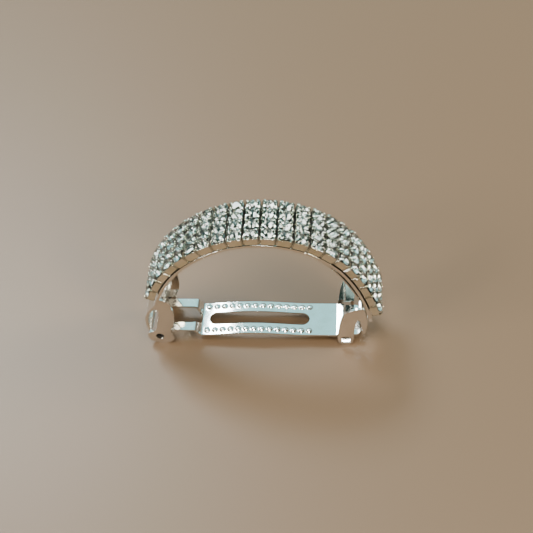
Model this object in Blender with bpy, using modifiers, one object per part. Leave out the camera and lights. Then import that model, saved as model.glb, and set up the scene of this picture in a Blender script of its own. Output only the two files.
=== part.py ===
"""Arched French barrette covered with four rows of cup-set crystals.

Lengths are in millimetres until MM turns them into Blender's metres. +X runs from the hinge to the clasp,
+Y to the back of the clip and +Z up. The clip stands on the feet of its hinge ears and of its clasp at z = 0.
"""
import math

import bmesh
import bpy
from mathutils import Matrix, Vector

MM = 0.001

# The arch is followed along the surface that the cups sit on, as arc length from its highest point.
# Each side is a run of tangent arcs, (radius, length), from the top down; a negative radius bends back.
ARCH_APEX = (0.84, 31.22)
LEFT_ARCS = (
    (20.5, 9.6), (25.6, 20.3), (-6.0, 2.2), (math.inf, 1.3), (5.0, 3.0), (14.0, 3.2), (1.7, 1.6),
)
RIGHT_ARCS = ((19.6, 20.8), (39.4, 12.5), (12.0, 3.6))
LEFT_END = -sum(length for radius, length in LEFT_ARCS)
RIGHT_END = sum(length for radius, length in RIGHT_ARCS)

# Rhinestone cup chain: equal square cups joined by a thin link strip, one crystal in each.
CUPS_PER_ROW = 21
ROWS = 4
CUP_PITCH = 3.0
ROW_PITCH = 2.46
CHAIN_START = -29.9
CUP_WIDTH = 2.40
CUP_LENGTH = 2.50
CUP_HEIGHT = 1.59
LINK_THICKNESS = 0.3
POCKET_SIZE = 2.16
POCKET_FLOOR = 0.35

# Crystal heights are above the surface that the cups sit on.
CRYSTAL_SIDES = 6
CRYSTAL_PROFILE = ((0.42, 0.60), (1.03, 1.64), (0.62, 2.15))
TIE_BAR = (1.64, 1.78, 0.30)
TIE_BAR_OVERHANG = 0.05
TIE_BAR_END = 0.3

# Sheet metal.
CLEARANCE = 0.3
PLATE_THICKNESS = 0.6
PLATE_WIDTH = 10.0
PLATE_HINGE_CORNER = 1.2
PLATE_CLASP_CORNER = 3.2
SEWING_HOLE = (3.4, 0.7)
PLATE_DEPTH = CLEARANCE
PLATE_INSIDE = PLATE_DEPTH + PLATE_THICKNESS
SPRING_THICKNESS = 0.3
SPRING_WIDTH = 8.6
SPRING_FREE_END = -7.2
SPRING_FIXED_END = 36.0
SPRING_FREE_CORNER = 2.6
SPRING_FIXED_CORNER = 1.4
SPRING_TAPER = (28.0, 31.0, 1.1)
SPRING_BULGE = (20.0, 13.0, 0.45)
WALL_THICKNESS = 0.5
WALLS_OUTER_WIDTH = 9.7
ARM_THICKNESS = 0.45
ARM_WIDTH = 8.2
TONGUE_WIDTH = 7.6
HOLE_CUTTER_LENGTH = 3.0
SLOT_CUTTER_HEIGHT = 8.0

# Hinge.
PIN = (-21.65, 2.3)
PIN_RADIUS = 0.78
PIN_BORE_RADIUS = 0.64
PIN_CLEARANCE = 0.06
PIN_RECESS = 0.2
KNUCKLE_RADIUS = 1.28
LEG_INNER_Y = 2.1
LEG_GAP_END = -13.2
EAR_BEND_STATIONS = (-32.3, -31.3, -30.3, -29.2)
EAR_OVERLAP = 0.25

# Arm, along x.
JOGGLE_START = -14.6
JOGGLE_END = -13.1
BOW_END = 8.4
ARM_SHOULDER = 14.9
TONGUE_START = 15.2
RAMP_TOP = 16.3
RAMP_END = 16.7
ARM_END = 19.8
BODY_START_HEIGHT = 2.05
BODY_END_HEIGHT = 2.3
BOW_RISE = 0.7
RAMP_RISE = 0.34
SLOT = (-11.7, 9.3, 1.58)
DIMPLES_PER_ROW = 14
DIMPLE_ROW_Y = 3.03
DIMPLE_START = -12.0
DIMPLE_PITCH = 1.64
DIMPLE_RADIUS = 0.56
DIMPLE_RISE = 0.22
DIMPLE_ROOT = 0.15
DIMPLE_CROWN = 0.45

# Clasp.
RIVET_STATION = 35.0
RIVET_RADIUS = 0.6
RIVET_BORE_RADIUS = 0.35
RIVET_HEAD_RADIUS = 1.05
RIVET_HEAD_THICKNESS = 0.25
RIVET_HEAD_GAPS = (0.05, 0.14)
RIVET_HOLE_CLEARANCE = 0.08
WEB_DEPTH = PLATE_INSIDE + 0.9
WEB_STATIONS = (30.8, 36.9)
WALL_BEND_STATION = 33.5
WALL_STATIONS = (36.4, 34.5, 32.6, 30.6)
HOOK = (16.0, 17.8, 0.85, 1.5)
HOOK_REACH = 3.9
HOOK_UNDERCUT = 0.35
HOOK_LIP_DROP = 0.12
HOOK_ROOT = 0.2
HOOK_WINDOW_TOP = 2.7
HOOK_WINDOW_INSET = 0.08

SILVER = (0.80, 0.80, 0.78, 1.0)
CRYSTAL = (0.90, 0.93, 0.92, 1.0)

for leftover in list(bpy.data.objects):
    bpy.data.objects.remove(leftover, do_unlink=True)

parts = bpy.data.collections.new("rhinestone_hair_clip")
cutters = bpy.data.collections.new("cutters")
bpy.context.scene.collection.children.link(parts)
bpy.context.scene.collection.children.link(cutters)
cutters.hide_render = True


# ---------------------------------------------------------------- the arch

def arch_point(station, depth=0.0):
    """Point (x, z) of the arch at an arc length from its top, some depth below the cups' seat."""
    side = 1.0 if station >= 0 else -1.0
    remaining = abs(station)
    slope = 0.0
    x = 0.0
    z = 0.0
    for radius, length in RIGHT_ARCS if side > 0 else LEFT_ARCS:
        step = min(remaining, length)
        turn = step / radius
        chord = step if turn == 0 else 2 * radius * math.sin(turn / 2)
        x += chord * math.cos(slope + turn / 2)
        z -= chord * math.sin(slope + turn / 2)
        slope += turn
        remaining -= step
    return (
        ARCH_APEX[0] + side * (x - depth * math.sin(slope)),
        ARCH_APEX[1] + z - depth * math.cos(slope),
    )


def arch_slope(station):
    """Angle of the arch below horizontal, in radians, positive where it falls to the right."""
    before = arch_point(station - 0.01)
    after = arch_point(station + 0.01)
    return math.atan2(before[1] - after[1], after[0] - before[0])


def spread(start, end, count):
    return [start + (end - start) * i / (count - 1) for i in range(count)]


# ---------------------------------------------------------------- shared builders

def material(name, colour, roughness, metallic, transmission=0.0):
    made = bpy.data.materials.new(name)
    made.use_nodes = True
    shader = made.node_tree.nodes["Principled BSDF"]
    shader.inputs["Base Color"].default_value = colour
    shader.inputs["Roughness"].default_value = roughness
    shader.inputs["Metallic"].default_value = metallic
    shader.inputs["Transmission Weight"].default_value = transmission
    made.diffuse_color = colour
    return made


def add_object(name, mesh, origin=(0.0, 0.0, 0.0), finish=None):
    """Link a mesh whose points are in world millimetres as an object in metres with the given origin."""
    mesh.transform(Matrix.Scale(MM, 4) @ Matrix.Translation(-Vector(origin)))
    obj = bpy.data.objects.new(name, mesh)
    obj.location = Vector(origin) * MM
    if finish is None:
        cutters.objects.link(obj)
        obj.hide_render = True
        obj.display_type = "WIRE"
    else:
        parts.objects.link(obj)
        obj.data.materials.clear()
        obj.data.materials.append(finish)
        mesh.shade_smooth()
        mesh.set_sharp_from_angle(angle=math.radians(35))
    return obj


def mesh_from_bmesh(name, bm):
    mesh = bpy.data.meshes.new(name)
    bm.to_mesh(mesh)
    bm.free()
    return mesh


def outline_mesh(name, outlines, thickness, frame):
    """A flat outline with holes, as a filled 2D curve given a thickness and placed by a matrix."""
    curve = bpy.data.curves.new(name, "CURVE")
    curve.dimensions = "2D"
    curve.fill_mode = "BOTH"
    curve.extrude = thickness / 2
    for outline in outlines:
        spline = curve.splines.new("POLY")
        spline.points.add(len(outline) - 1)
        for point, (u, v) in zip(spline.points, outline):
            point.co = (u, v, 0.0, 1.0)
        spline.use_cyclic_u = True
    holder = bpy.data.objects.new(name, curve)
    bpy.context.scene.collection.objects.link(holder)
    bpy.context.view_layer.update()
    graph = bpy.context.evaluated_depsgraph_get()
    mesh = bpy.data.meshes.new_from_object(holder.evaluated_get(graph))
    bpy.data.objects.remove(holder, do_unlink=True)
    bm = bmesh.new()
    bm.from_mesh(mesh)
    bpy.data.meshes.remove(mesh)
    bmesh.ops.remove_doubles(bm, verts=bm.verts, dist=0.0005)
    bmesh.ops.transform(bm, matrix=frame, verts=bm.verts)
    bmesh.ops.recalc_face_normals(bm, faces=bm.faces)
    return mesh_from_bmesh(name, bm)


def upright(y):
    """Frame that stands an (x, z) outline up in the plane at y."""
    return Matrix.Translation((0.0, y, 0.0)) @ Matrix.Rotation(math.pi / 2, 4, "X")


def lying(z):
    return Matrix.Translation((0.0, 0.0, z))


def smooth_outline(points, steps=4):
    """Closed Catmull-Rom outline through (x, z, round) points, turning sharply where round is 0."""
    count = len(points)
    outline = []
    for i in range(count):
        before, here, after, beyond = (points[(i + k) % count] for k in (-1, 0, 1, 2))
        if not here[2]:
            before = here
        if not after[2]:
            beyond = after
        for step in range(steps if here[2] or after[2] else 1):
            t = step / steps
            outline.append(tuple(
                0.5 * (2 * here[a] + (after[a] - before[a]) * t
                       + (2 * before[a] - 5 * here[a] + 4 * after[a] - beyond[a]) * t ** 2
                       + (3 * here[a] - before[a] - 3 * after[a] + beyond[a]) * t ** 3)
                for a in (0, 1)
            ))
    return outline


def arc(centre, radii, start, end, count):
    """Points along an ellipse, angles in degrees."""
    return [
        (centre[0] + radii[0] * math.cos(math.radians(a)), centre[1] + radii[1] * math.sin(math.radians(a)))
        for a in spread(start, end, count)
    ]


def strip_outline(path, thickness):
    """Side view of a bent strip, from the (x, z) points along its middle."""
    left = []
    right = []
    for i, (x, z) in enumerate(path):
        x0, z0 = path[max(i - 1, 0)]
        x1, z1 = path[min(i + 1, len(path) - 1)]
        length = math.hypot(x1 - x0, z1 - z0)
        nx = -(z1 - z0) / length * thickness / 2
        nz = (x1 - x0) / length * thickness / 2
        left.append((x + nx, z + nz))
        right.append((x - nx, z - nz))
    return left + right[::-1]


def rounded_half_width(distance_to_tip, half_width, radius):
    """Half width of a strip whose end corners are rounded, at a distance from its end."""
    if distance_to_tip >= radius:
        return half_width
    return half_width - radius + math.sqrt(max(radius ** 2 - (radius - distance_to_tip) ** 2, 0.0))


def arched_sheet(name, stations, depth, half_width, thickness, finish):
    """A flat blank bent along the arch: a grid whose columns take their place from their station."""
    bm = bmesh.new()
    bmesh.ops.create_grid(bm, x_segments=len(stations) - 1, y_segments=2, size=1.0)
    for vertex in bm.verts:
        column = round((vertex.co.x + 1) / 2 * (len(stations) - 1))
        station = stations[column]
        x, z = arch_point(station, depth(station))
        vertex.co = (x, vertex.co.y * half_width(station), z)
    sheet = add_object(name, mesh_from_bmesh(name, bm), finish=finish)
    solidify = sheet.modifiers.new("thickness", "SOLIDIFY")
    solidify.thickness = thickness * MM
    solidify.offset = -1.0
    return sheet


def cylinder_mesh(name, radius, length, frame, sides=16):
    bm = bmesh.new()
    bmesh.ops.create_cone(
        bm, cap_ends=True, segments=sides, radius1=radius, radius2=radius, depth=length, matrix=frame
    )
    return mesh_from_bmesh(name, bm)


def along_y(x, z, y=0.0):
    return Matrix.Translation((x, y, z)) @ Matrix.Rotation(math.pi / 2, 4, "X")


def across_arch(station, depth):
    """Frame whose Z points out of the arch at a station, centred at a depth below the seat."""
    x, z = arch_point(station, depth)
    return Matrix.Translation((x, 0.0, z)) @ Matrix.Rotation(arch_slope(station), 4, "Y")


def boolean(obj, tool, operation):
    modifier = obj.modifiers.new(f"{operation.lower()} {tool.name}", "BOOLEAN")
    modifier.object = tool
    modifier.operation = operation
    modifier.solver = "EXACT"


def joined_mesh(name, meshes):
    bm = bmesh.new()
    for mesh in meshes:
        bm.from_mesh(mesh)
        bpy.data.meshes.remove(mesh)
    return mesh_from_bmesh(name, bm)


# ---------------------------------------------------------------- base plate with its hinge ears

def ear_outline():
    """Side view of a hinge ear: it leaves the plate's edge, narrows to a waist and ends in an oval foot."""
    plate_edge = [(*arch_point(station, PLATE_INSIDE - EAR_OVERLAP), 0) for station in EAR_BEND_STATIONS]
    right_side = [
        (-18.7, 13.35, 1), (-18.0, 11.0, 1), (-17.9, 8.6, 1), (-18.25, 6.5, 1), (-18.85, 4.9, 1),
        (-19.2, 3.7, 1), (-18.9, 2.8, 1),
    ]
    foot = [(x, z, 0) for x, z in arc((-21.35, 1.9), (2.75, 1.9), -5, -175, 15)]
    left_side = [
        (-24.2, 2.8, 1), (-23.8, 3.5, 1), (-22.85, 3.85, 1), (-22.2, 4.5, 1), (-21.8, 5.8, 1),
        (-21.4, 7.7, 1), (-21.1, 9.4, 1), (-21.0, 10.6, 1),
    ]
    return smooth_outline(plate_edge + right_side + foot + left_side, steps=3)


def base_plate(finish):
    half = PLATE_WIDTH / 2

    def half_width(station):
        return min(
            rounded_half_width(station - LEFT_END, half, PLATE_HINGE_CORNER),
            rounded_half_width(RIGHT_END - station, half, PLATE_CLASP_CORNER),
        )

    # Columns stand closest where the plate bends tightest and where its corners are rounded.
    curl = [LEFT_END + d for d in (0.0, 0.1, 0.3, 0.6, 1.0, 1.4, 1.8, 2.6)]
    flare = spread(LEFT_END + 3.6, LEFT_END + 11.2, 13)
    middle = spread(LEFT_END + 12.2, RIGHT_END - 3.6, 34)
    clasp_tip = [RIGHT_END - d for d in (2.6, 1.7, 0.9, 0.3, 0.0)]
    plate = arched_sheet(
        "base_plate", curl + flare + middle + clasp_tip, lambda s: PLATE_DEPTH, half_width,
        PLATE_THICKNESS, finish,
    )
    outline = ear_outline()
    for side, word in ((-1, "front"), (1, "rear")):
        y = side * (WALLS_OUTER_WIDTH - WALL_THICKNESS) / 2
        ear = add_object(f"{word}_ear", outline_mesh("ear", [outline], WALL_THICKNESS, upright(y)))
        boolean(plate, ear, "UNION")
    pin_hole = cylinder_mesh("pin_hole", PIN_RADIUS + PIN_CLEARANCE, PLATE_WIDTH + 2, along_y(*PIN), 20)
    boolean(plate, add_object("pin_hole", pin_hole), "DIFFERENCE")
    plate_middle = PLATE_DEPTH + PLATE_THICKNESS / 2
    rivet_hole = cylinder_mesh(
        "plate_rivet_hole", RIVET_RADIUS + RIVET_HOLE_CLEARANCE, HOLE_CUTTER_LENGTH,
        across_arch(RIVET_STATION, plate_middle),
    )
    boolean(plate, add_object("plate_rivet_hole", rivet_hole), "DIFFERENCE")
    from_tip, radius = SEWING_HOLE
    sewing_hole = cylinder_mesh(
        "sewing_hole", radius, HOLE_CUTTER_LENGTH, across_arch(LEFT_END + from_tip, plate_middle)
    )
    boolean(plate, add_object("sewing_hole", sewing_hole), "DIFFERENCE")
    return plate


def hinge_pin(finish):
    length = WALLS_OUTER_WIDTH - 2 * PIN_RECESS
    pin = add_object(
        "hinge_pin",
        cylinder_mesh("hinge_pin", PIN_RADIUS, length, along_y(*PIN), 20),
        (PIN[0], 0.0, PIN[1]),
        finish,
    )
    bore = add_object("pin_bore", cylinder_mesh("pin_bore", PIN_BORE_RADIUS, length + 1, along_y(*PIN), 12))
    boolean(pin, bore, "DIFFERENCE")
    return pin


# ---------------------------------------------------------------- arm

def arm_path():
    """Middle of the arm in side view, from inside its rolled knuckle to its tip."""
    roll = KNUCKLE_RADIUS - ARM_THICKNESS / 2
    path = arc(PIN, (roll, roll), 385, 90, 19)
    leg_height = PIN[1] + roll
    low = BODY_START_HEIGHT - ARM_THICKNESS / 2
    high = BODY_END_HEIGHT - ARM_THICKNESS / 2
    joggle = JOGGLE_END - JOGGLE_START
    path += [
        (JOGGLE_START, leg_height),
        (JOGGLE_START + 0.3 * joggle, leg_height - 0.12 * (leg_height - low)),
        (JOGGLE_END - 0.3 * joggle, low + 0.12 * (leg_height - low)),
    ]
    for step in spread(0.0, 1.0, 11):
        x = JOGGLE_END + step * (BOW_END - JOGGLE_END)
        path.append((x, low + step * (high - low) + BOW_RISE * math.sin(math.pi * step) ** 1.5))
    path += [
        (BOW_END + 0.5, high), (ARM_SHOULDER - 0.5, high), (ARM_SHOULDER, high),
        (RAMP_TOP, high + RAMP_RISE), (RAMP_END, high), (RAMP_END + 0.4, high), (ARM_END, high),
    ]
    return path


def arm_top(x):
    """Height of the arm's bowed upper face."""
    step = (x - JOGGLE_END) / (BOW_END - JOGGLE_END)
    step = min(max(step, 0.0), 1.0)
    return (
        BODY_START_HEIGHT + step * (BODY_END_HEIGHT - BODY_START_HEIGHT)
        + BOW_RISE * math.sin(math.pi * step) ** 1.5
    )


def slot_outline(start, end, half_width):
    right = arc((end - half_width, 0.0), (half_width, half_width), -90, 90, 9)
    left = arc((start + half_width, 0.0), (half_width, half_width), 90, 270, 9)
    return right + left


def arm(finish):
    side_view = strip_outline(arm_path(), ARM_THICKNESS)
    made = add_object(
        "arm", outline_mesh("arm", [side_view], ARM_WIDTH, upright(0.0)), (PIN[0], 0.0, PIN[1]), finish
    )
    level = lying(PIN[1])
    slot = outline_mesh("arm_slot", [slot_outline(*SLOT)], SLOT_CUTTER_HEIGHT, level)
    boolean(made, add_object("arm_slot", slot), "DIFFERENCE")
    beyond_knuckle = PIN[0] - 3 * KNUCKLE_RADIUS - LEG_INNER_Y
    leg_gap = slot_outline(beyond_knuckle, LEG_GAP_END, LEG_INNER_Y)
    gap = outline_mesh("leg_gap", [leg_gap], SLOT_CUTTER_HEIGHT, level)
    boolean(made, add_object("leg_gap", gap), "DIFFERENCE")
    side_cut = (ARM_WIDTH - TONGUE_WIDTH) / 2
    cut_length = 2 * (ARM_END - TONGUE_START)
    for side in (-1, 1):
        bm = bmesh.new()
        y = side * (TONGUE_WIDTH / 2 + side_cut)
        middle = Matrix.Translation((TONGUE_START + cut_length / 2, y, PIN[1]))
        size = Matrix.Diagonal((cut_length, 2 * side_cut, SLOT_CUTTER_HEIGHT, 1.0))
        bmesh.ops.create_cube(bm, size=1.0, matrix=middle @ size)
        cutter = add_object(f"tongue_side_{side}", mesh_from_bmesh("tongue_side", bm))
        boolean(made, cutter, "DIFFERENCE")
    domes = []
    for row in (-1, 1):
        for i in range(DIMPLES_PER_ROW):
            x = DIMPLE_START + i * DIMPLE_PITCH
            bm = bmesh.new()
            top = Matrix.Translation((x, row * DIMPLE_ROW_Y, arm_top(x)))
            base = Matrix.Translation((0.0, 0.0, (DIMPLE_RISE - DIMPLE_ROOT) / 2))
            bmesh.ops.create_cone(
                bm, cap_ends=True, segments=6, radius1=DIMPLE_RADIUS, radius2=DIMPLE_RADIUS * DIMPLE_CROWN,
                depth=DIMPLE_RISE + DIMPLE_ROOT, matrix=top @ base,
            )
            domes.append(mesh_from_bmesh("dimple", bm))
    boolean(made, add_object("arm_dimples", joined_mesh("arm_dimples", domes)), "UNION")
    return made


# ---------------------------------------------------------------- tension spring

def spring_depth(station):
    """The leaf hugs the plate, stands off a little at the right shoulder and is clamped under the rivet."""
    centre, reach, height = SPRING_BULGE
    bulge = max(0.0, 1.0 - abs(station - centre) / reach)
    return PLATE_INSIDE + CLEARANCE + height * math.sin(bulge * math.pi / 2) ** 2


def tension_spring(finish):
    half = SPRING_WIDTH / 2
    taper_start, taper_end, narrowing = SPRING_TAPER

    def half_width(station):
        free = rounded_half_width(station - SPRING_FREE_END, half, SPRING_FREE_CORNER)
        taper = min(max((station - taper_start) / (taper_end - taper_start), 0.0), 1.0)
        fixed = rounded_half_width(SPRING_FIXED_END - station, half, SPRING_FIXED_CORNER)
        return min(free, half - narrowing * taper, fixed)

    tip = [SPRING_FREE_END + d for d in (0.0, 0.3, 0.9, 1.8, 2.8)]
    body = spread(SPRING_FREE_END + 4.6, taper_start, 20)
    tail = [taper_start + d for d in (1.0, 2.0, 3.0, 5.3)]
    tail += [SPRING_FIXED_END - d for d in (1.4, 0.6, 0.0)]
    stations = tip + body + tail
    spring = arched_sheet("tension_spring", stations, spring_depth, half_width, SPRING_THICKNESS, finish)
    spring_middle = spring_depth(RIVET_STATION) + SPRING_THICKNESS / 2
    hole = cylinder_mesh(
        "spring_rivet_hole", RIVET_RADIUS + RIVET_HOLE_CLEARANCE, HOLE_CUTTER_LENGTH,
        across_arch(RIVET_STATION, spring_middle),
    )
    boolean(spring, add_object("spring_rivet_hole", hole), "DIFFERENCE")
    return spring


# ---------------------------------------------------------------- clasp

def clasp_wall_outline():
    """Side view of a clasp wall: a long leg with the hook, a notch, and a short limb beside the web."""
    beside_plate = [(*arch_point(station, PLATE_INSIDE + CLEARANCE), 0) for station in WALL_STATIONS]
    long_leg = [
        (18.5, 11.45, 1), (16.75, 10.2, 1), (15.85, 8.0, 1), (15.4, 4.8, 1), (15.2, 2.1, 1), (15.65, 0.5, 1),
        (16.9, 0.0, 1), (18.0, 0.6, 1), (18.45, 2.0, 1), (18.6, 4.4, 1), (18.8, 6.8, 1),
    ]
    notch = [(19.35, 8.2, 1), (19.95, 7.0, 1), (20.15, 4.4, 1), (20.3, 3.7, 1)]
    return smooth_outline(beside_plate + long_leg + notch + [(20.8, 4.1, 1)], steps=3)


def hook_window_outline():
    """The opening that the hook was pressed out of, above the hook."""
    x0, x1, _, z1 = HOOK
    left = x0 + HOOK_WINDOW_INSET
    right = x1 - HOOK_WINDOW_INSET
    foot = z1 + HOOK_WINDOW_INSET
    return [(left, foot), (right, foot), (right, HOOK_WINDOW_TOP), (left, HOOK_WINDOW_TOP)]


def clasp_web(finish):
    stations = spread(*WEB_STATIONS, 6)
    half = WALLS_OUTER_WIDTH / 2 - WALL_THICKNESS - CLEARANCE
    web = arched_sheet(
        "clasp_web", stations, lambda s: WEB_DEPTH, lambda s: half, WALL_THICKNESS, finish
    )
    hole = cylinder_mesh(
        "web_rivet_hole", RIVET_RADIUS + RIVET_HOLE_CLEARANCE, HOLE_CUTTER_LENGTH,
        across_arch(RIVET_STATION, WEB_DEPTH + WALL_THICKNESS / 2),
    )
    boolean(web, add_object("web_rivet_hole", hole), "DIFFERENCE")
    return web


def clasp_wall(word, side, finish):
    """One spring wall of the clasp, with a hook pressed inwards at its foot."""
    y = side * (WALLS_OUTER_WIDTH - WALL_THICKNESS) / 2
    bend = arch_point(WALL_BEND_STATION, WEB_DEPTH)
    wall = add_object(
        f"clasp_{word}_wall",
        outline_mesh("clasp_wall", [clasp_wall_outline(), hook_window_outline()], WALL_THICKNESS, upright(y)),
        (bend[0], y, bend[1]),
        finish,
    )
    x0, x1, z0, z1 = HOOK
    outer = WALLS_OUTER_WIDTH / 2 - HOOK_ROOT
    profile = [(HOOK_REACH, z1 - HOOK_LIP_DROP), (HOOK_REACH, z0 + HOOK_UNDERCUT), (outer, z0), (outer, z1)]
    outline = [(side * across, up) for across, up in profile]
    facing_x = Matrix(((0, 0, 1, (x0 + x1) / 2), (1, 0, 0, 0), (0, 1, 0, 0), (0, 0, 0, 1)))
    hook = add_object(f"clasp_{word}_hook", outline_mesh("hook", [outline], x1 - x0, facing_x))
    boolean(wall, hook, "UNION")
    return wall


def clasp_rivet(finish):
    """Hollow rivet through the plate, the spring's tail and the clasp's web."""
    head = RIVET_HEAD_THICKNESS
    outer = PLATE_DEPTH - RIVET_HEAD_GAPS[0]
    inner = WEB_DEPTH + WALL_THICKNESS + RIVET_HEAD_GAPS[1]
    profile = (
        (RIVET_BORE_RADIUS, outer - head), (RIVET_HEAD_RADIUS, outer - head),
        (RIVET_HEAD_RADIUS, outer), (RIVET_RADIUS, outer),
        (RIVET_RADIUS, inner), (RIVET_HEAD_RADIUS, inner),
        (RIVET_HEAD_RADIUS, inner + head), (RIVET_BORE_RADIUS, inner + head),
    )
    mesh = bpy.data.meshes.new("clasp_rivet")
    bm = bmesh.new()
    ring = [bm.verts.new((radius * MM, 0.0, -depth * MM)) for radius, depth in profile]
    for i in range(len(ring)):
        bm.edges.new((ring[i], ring[(i + 1) % len(ring)]))
    bm.to_mesh(mesh)
    bm.free()
    rivet = bpy.data.objects.new("clasp_rivet", mesh)
    parts.objects.link(rivet)
    mesh.materials.append(finish)
    frame = across_arch(RIVET_STATION, 0.0)
    frame.translation = frame.translation * MM
    rivet.matrix_world = frame
    screw = rivet.modifiers.new("turned", "SCREW")
    screw.steps = 16
    screw.render_steps = 16
    screw.use_merge_vertices = True
    screw.merge_threshold = 0.00001
    return rivet


# ---------------------------------------------------------------- cup chains and crystals

def cup_station(cup):
    return CHAIN_START + (cup + 0.5) * CUP_PITCH


def seat_frame(station, y):
    """Frame on the cups' seat: X along the chain, Z out of the arch."""
    x, z = arch_point(station)
    return Matrix.Translation((x, y, z)) @ Matrix.Rotation(arch_slope(station), 4, "Y")


def chain_outline():
    """Side view of a row: a thin strip along the arch with a block for each cup."""
    top = []
    bottom = []
    half = CUP_LENGTH / 2
    for cup in range(CUPS_PER_ROW):
        frame = seat_frame(cup_station(cup), 0.0)
        cup_side = ((-half, LINK_THICKNESS), (-half, CUP_HEIGHT), (half, CUP_HEIGHT), (half, LINK_THICKNESS))
        for along, up in cup_side:
            point = frame @ Vector((along, 0.0, up))
            top.append((point.x, point.z))
        for along in (-half, half):
            point = frame @ Vector((along, 0.0, 0.0))
            bottom.append((point.x, point.z))
    return top + bottom[::-1]


def cup_row(row, y, outline, finish):
    name = f"cup_row_{row + 1}"
    chain = add_object(name, outline_mesh(name, [outline], CUP_WIDTH, upright(y)), (0.0, y, 0.0), finish)
    pockets = []
    depth = CUP_HEIGHT - POCKET_FLOOR + 1.0
    for cup in range(CUPS_PER_ROW):
        bm = bmesh.new()
        size = Matrix.Diagonal((POCKET_SIZE, POCKET_SIZE, depth, 1.0))
        rise = Matrix.Translation((0.0, 0.0, POCKET_FLOOR + depth / 2))
        bmesh.ops.create_cube(bm, size=1.0, matrix=seat_frame(cup_station(cup), y) @ rise @ size)
        pockets.append(mesh_from_bmesh("pocket", bm))
    boolean(chain, add_object(f"{name}_pockets", joined_mesh("pockets", pockets)), "DIFFERENCE")
    return chain


def crystal_mesh(frame):
    """A faceted stone as stacked rings from the cut-off point of its pavilion up to its table."""
    bm = bmesh.new()
    rings = []
    for radius, height in CRYSTAL_PROFILE:
        rise = Matrix.Translation((0.0, 0.0, height))
        ring = bmesh.ops.create_circle(bm, cap_ends=False, segments=CRYSTAL_SIDES, radius=radius, matrix=rise)
        rings.append(ring["verts"])
    for lower, upper in zip(rings, rings[1:]):
        edges = {edge for vertex in lower + upper for edge in vertex.link_edges}
        bmesh.ops.bridge_loops(bm, edges=[edge for edge in edges if is_ring_edge(edge, lower, upper)])
    bmesh.ops.contextual_create(bm, geom=rings[0])
    bmesh.ops.contextual_create(bm, geom=rings[-1])
    bmesh.ops.recalc_face_normals(bm, faces=bm.faces)
    bmesh.ops.transform(bm, matrix=frame, verts=bm.verts)
    return mesh_from_bmesh("crystal", bm)


def is_ring_edge(edge, lower, upper):
    both = [vertex in lower for vertex in edge.verts]
    high = [vertex in upper for vertex in edge.verts]
    return all(both) or all(high)


def crystal_row(row, y, finish):
    """The row's crystals, tied under their crowns by a thin bar so that the row is one body."""
    name = f"crystal_row_{row + 1}"
    low, high, width = TIE_BAR
    middle = (low + high) / 2
    path = []
    for cup in range(CUPS_PER_ROW):
        past_cup = CUP_LENGTH / 2 + TIE_BAR_OVERHANG
        start = -TIE_BAR_END if cup == 0 else -past_cup
        end = TIE_BAR_END if cup == CUPS_PER_ROW - 1 else past_cup
        for along in (start, end):
            point = seat_frame(cup_station(cup), 0.0) @ Vector((along, 0.0, middle))
            path.append((point.x, point.z))
    bar = outline_mesh(name, [strip_outline(path, high - low)], width, upright(y))
    made = add_object(name, bar, (0.0, y, 0.0), finish)
    stones = [crystal_mesh(seat_frame(cup_station(cup), y)) for cup in range(CUPS_PER_ROW)]
    boolean(made, add_object(f"{name}_stones", joined_mesh("stones", stones)), "UNION")
    return made


# ---------------------------------------------------------------- assembly

plated = material("silver_plate", SILVER, 0.12, 1.0)
sprung = material("spring_steel", (0.72, 0.73, 0.72, 1.0), 0.18, 1.0)
claws = material("cup_metal", (0.76, 0.77, 0.75, 1.0), 0.2, 1.0)
stone = material("crystal", CRYSTAL, 0.02, 0.0, 0.9)

base_plate(plated)
hinge_pin(plated)
arm(plated)
tension_spring(sprung)
clasp_web(plated)
clasp_wall("front", -1, plated)
clasp_wall("rear", 1, plated)
clasp_rivet(plated)
side_view_of_row = chain_outline()
for row_index in range(ROWS):
    row_y = (row_index - (ROWS - 1) / 2) * ROW_PITCH
    cup_row(row_index, row_y, side_view_of_row, claws)
    crystal_row(row_index, row_y, stone)
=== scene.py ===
"""Looks of the rhinestone barrette: sheet metal, claw cups, faceted stones, floor, light and camera.

Lengths are in millimetres until MM turns them into metres. +X runs from the hinge to the clasp, +Y to the
back and +Z up, as in the CAD model, whose arch, hinge, arm and clasp dimensions are repeated here. A station
on the arch is an arc length from its top, negative towards the hinge. A station on the arm is an X position.
"""
import math
import random

import bmesh
import bpy
from mathutils import Matrix, Vector

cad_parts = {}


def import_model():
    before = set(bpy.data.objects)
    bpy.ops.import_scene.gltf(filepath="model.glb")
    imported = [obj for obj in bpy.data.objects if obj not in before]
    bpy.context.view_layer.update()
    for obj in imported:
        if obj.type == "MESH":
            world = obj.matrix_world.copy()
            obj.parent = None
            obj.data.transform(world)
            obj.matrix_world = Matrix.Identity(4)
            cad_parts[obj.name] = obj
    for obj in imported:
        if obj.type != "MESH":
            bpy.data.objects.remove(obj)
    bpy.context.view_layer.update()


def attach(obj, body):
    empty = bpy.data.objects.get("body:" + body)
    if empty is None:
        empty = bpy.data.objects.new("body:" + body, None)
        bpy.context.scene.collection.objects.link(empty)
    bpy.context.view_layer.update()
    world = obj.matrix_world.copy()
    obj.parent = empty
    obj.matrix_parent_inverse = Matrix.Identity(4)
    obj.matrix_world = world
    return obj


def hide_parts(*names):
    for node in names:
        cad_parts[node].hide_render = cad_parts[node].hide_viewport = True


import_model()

MM = 0.001

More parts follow.
